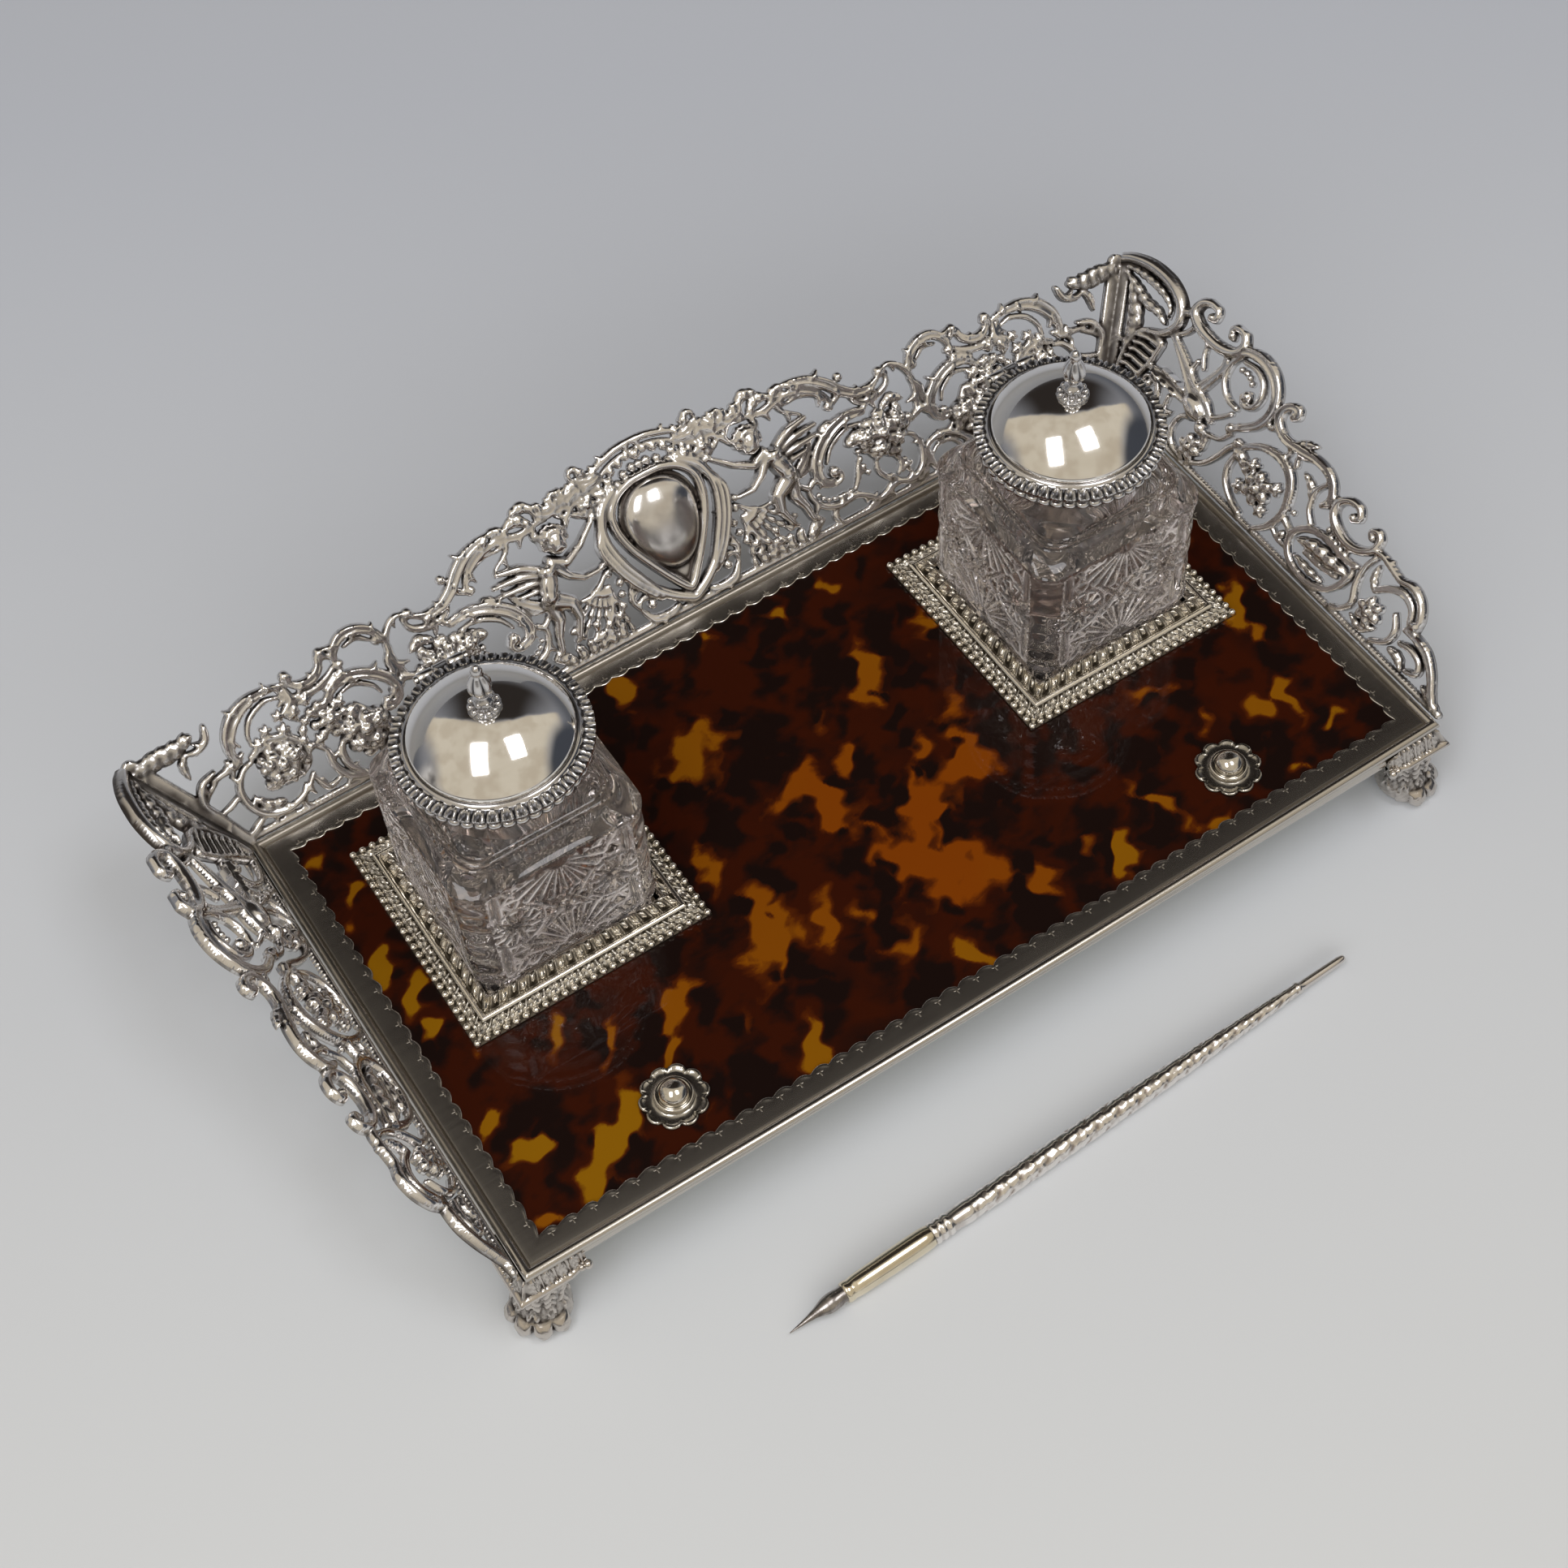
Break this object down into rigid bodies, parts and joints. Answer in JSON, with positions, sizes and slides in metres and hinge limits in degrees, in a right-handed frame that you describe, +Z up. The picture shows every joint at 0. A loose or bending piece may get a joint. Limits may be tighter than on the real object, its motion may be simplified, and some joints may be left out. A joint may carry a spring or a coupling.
{
  "type": "desk inkstand",
  "caption": "Footed silver inkstand with a tortoiseshell deck, a pierced gallery, cut-glass wells with hinged domed lids, rosette studs and a dip pen.",
  "frame": {"origin": "on the table, under the centre of the rectangular tray, level with the soles of the feet", "axes": "+X to the right along the tray, +Y to the back where the tall gallery is, +Z up"},
  "size_m": [0.3174, 0.2074, 0.118],
  "materials": {
    "silver": "antique silver, bright on the high points and grey in the recesses",
    "polished_silver": "mirror polished silver",
    "warm_silver": "polished silver with a warm tone",
    "nib_steel": "bare steel",
    "tortoiseshell": "polished tortoiseshell, dark mottle over amber",
    "core_wood": "plain planed wood",
    "baize": "green baize",
    "cut_glass": "clear cut crystal",
    "brass_fixings": "dull brass"
  },
  "bodies": {
    "stand": {"tray_frame": "silver", "tortoiseshell_panel": "tortoiseshell", "core_board": "core_wood", "underside_baize": "baize", "board_screws": "brass_fixings", "back_gallery": "silver", "left_gallery": "silver", "right_gallery": "silver", "foot_front_left": "silver", "foot_front_right": "silver", "foot_back_left": "silver", "foot_back_right": "silver", "foot_screws": "brass_fixings", "well_base_left": "silver", "well_base_right": "silver", "well_socket_left": "silver", "well_socket_right": "silver", "well_base_bolts": "brass_fixings", "well_base_nuts": "brass_fixings", "stud_rosette_left": "silver", "stud_rosette_right": "silver", "stud_bolts": "brass_fixings", "stud_nuts": "brass_fixings"},
    "left_well": {"well_glass_left": "cut_glass", "neck_collar_left": "silver", "hinge_pin_left": "silver"},
    "left_lid": {"lid_rim_left": "silver", "lid_dome_left": "polished_silver", "lid_finial_left": "silver", "finial_nut_left": "brass_fixings"},
    "right_well": {"well_glass_right": "cut_glass", "neck_collar_right": "silver", "hinge_pin_right": "silver"},
    "right_lid": {"lid_rim_right": "silver", "lid_dome_right": "polished_silver", "lid_finial_right": "silver", "finial_nut_right": "brass_fixings"},
    "pen": {"pen_handle": "silver", "pen_grip_sleeve": "warm_silver", "pen_nib": "nib_steel"}
  },
  "joints": [
    {"name": "left_well_lift", "type": "slide", "parent": "stand", "child": "left_well", "axis": [0, 0, 1], "range_m": [0, 0.06]},
    {"name": "left_lid_hinge", "type": "hinge", "parent": "left_well", "child": "left_lid", "pos_m": [-0.0808, 0.0444, 0.0896], "axis": [-1, 0, 0], "range_deg": [0, 100]},
    {"name": "right_well_lift", "type": "slide", "parent": "stand", "child": "right_well", "axis": [0, 0, 1], "range_m": [0, 0.06]},
    {"name": "right_lid_hinge", "type": "hinge", "parent": "right_well", "child": "right_lid", "pos_m": [0.0808, 0.0444, 0.0896], "axis": [-1, 0, 0], "range_deg": [0, 100]},
    {"name": "pen_lift", "type": "slide", "parent": "stand", "child": "pen", "axis": [0, 0, 1], "range_m": [0, 0.08]}
  ]
}
